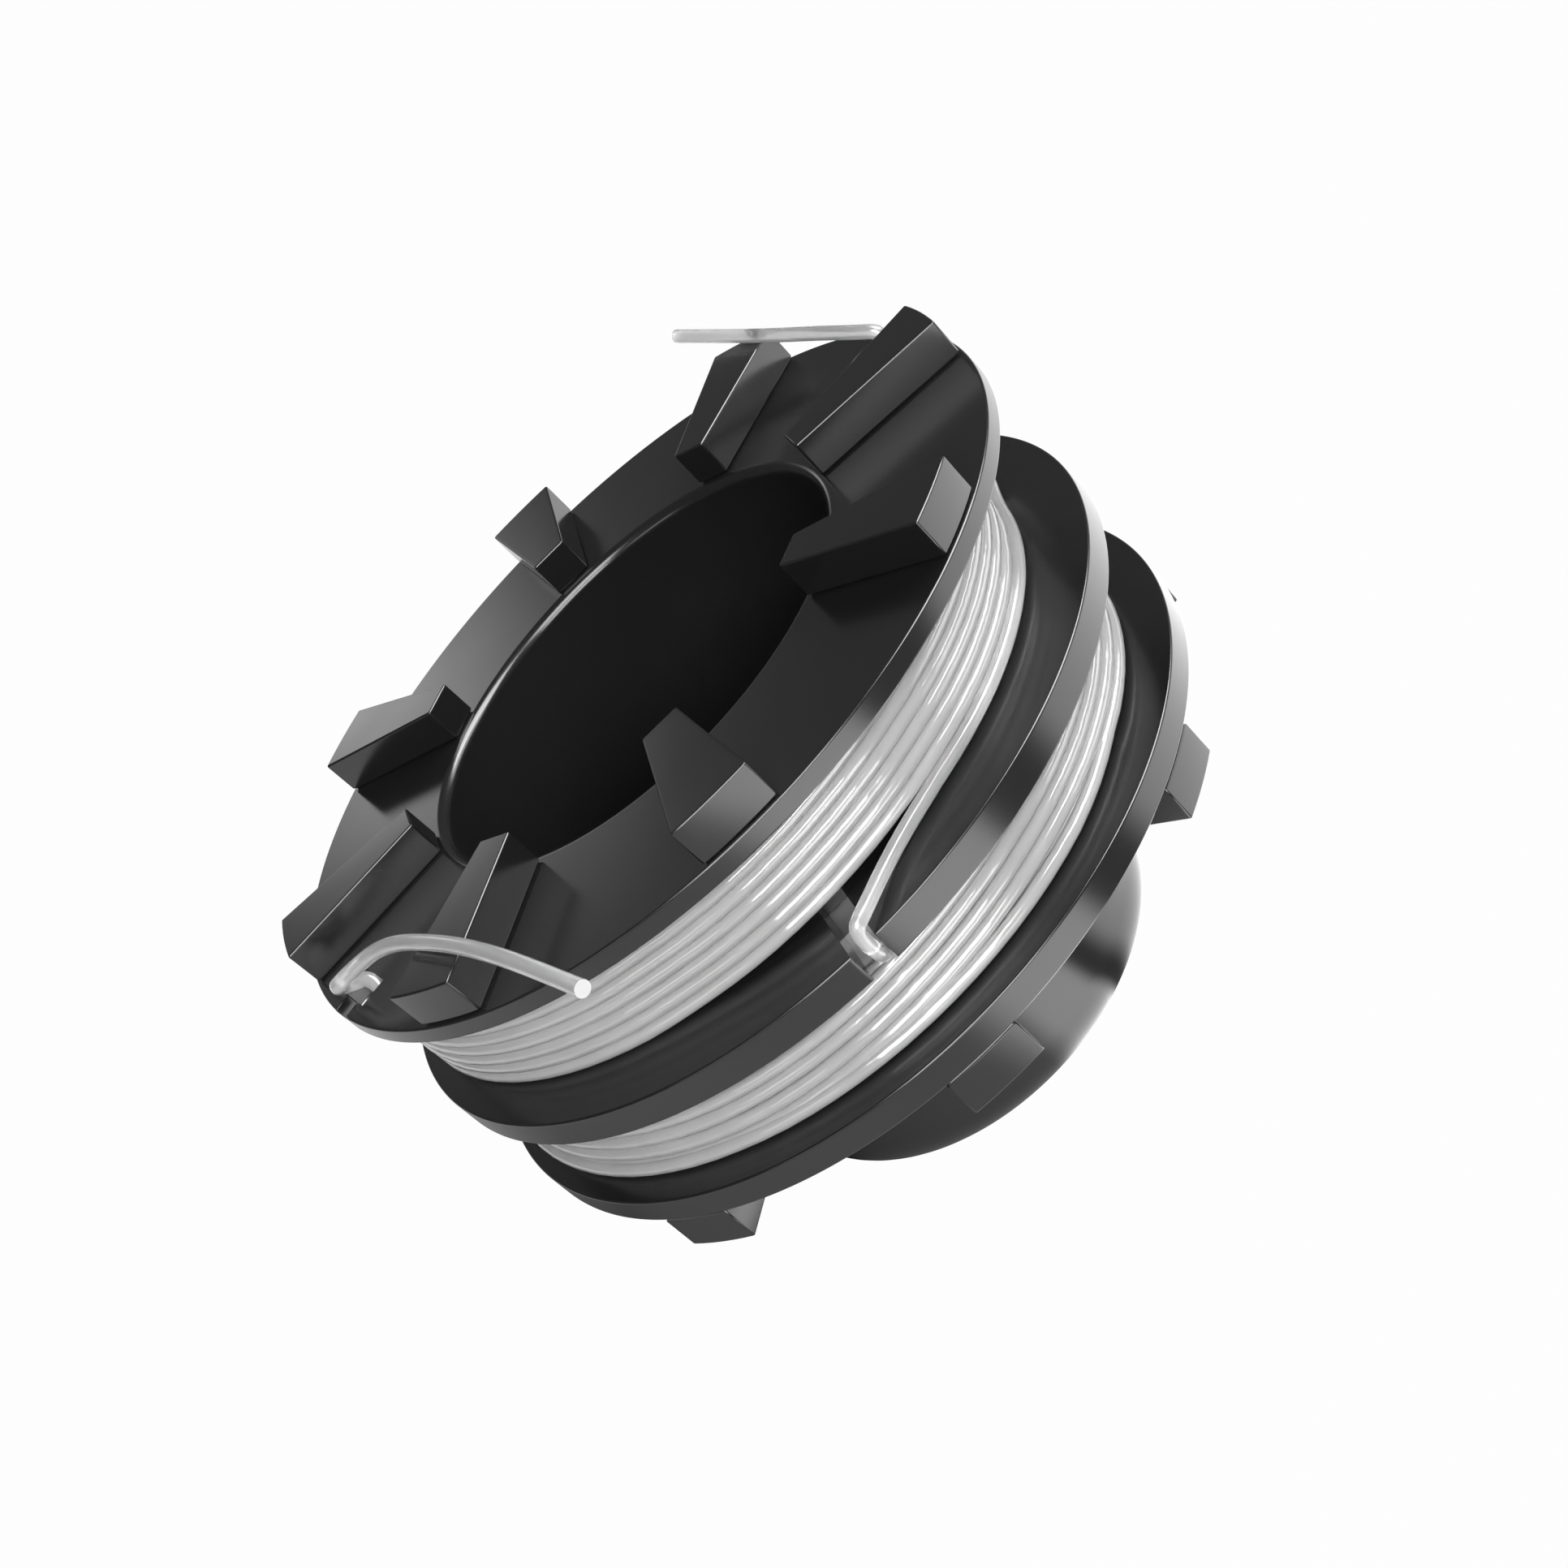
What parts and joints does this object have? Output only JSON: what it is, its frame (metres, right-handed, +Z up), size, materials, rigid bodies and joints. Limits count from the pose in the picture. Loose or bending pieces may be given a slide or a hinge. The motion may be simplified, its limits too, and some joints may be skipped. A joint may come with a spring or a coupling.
{
  "type": "trimmer line spool",
  "caption": "Flanged spool with drive teeth and a domed bump button, wound with clear nylon cutting line in separate chambers, for a grass trimmer head.",
  "frame": {"origin": "centre of the button's flat bottom, which is the lowest face", "axes": "+Z up the spool's axis from the button to the open toothed end; +X through the notch in the middle flange"},
  "size_m": [0.0912, 0.08, 0.0586],
  "materials": {
    "black_plastic": "moulded satin black plastic",
    "clear_nylon": "smooth natural nylon line, milky and slightly translucent"
  },
  "bodies": {
    "root": {"spool_body": "black_plastic", "upper_line_coil": "clear_nylon", "lower_line_coil": "clear_nylon", "upper_line_lead": "clear_nylon", "lower_line_lead": "clear_nylon", "left_line_tail": "clear_nylon", "rear_line_tail": "clear_nylon"}
  },
  "joints": []
}
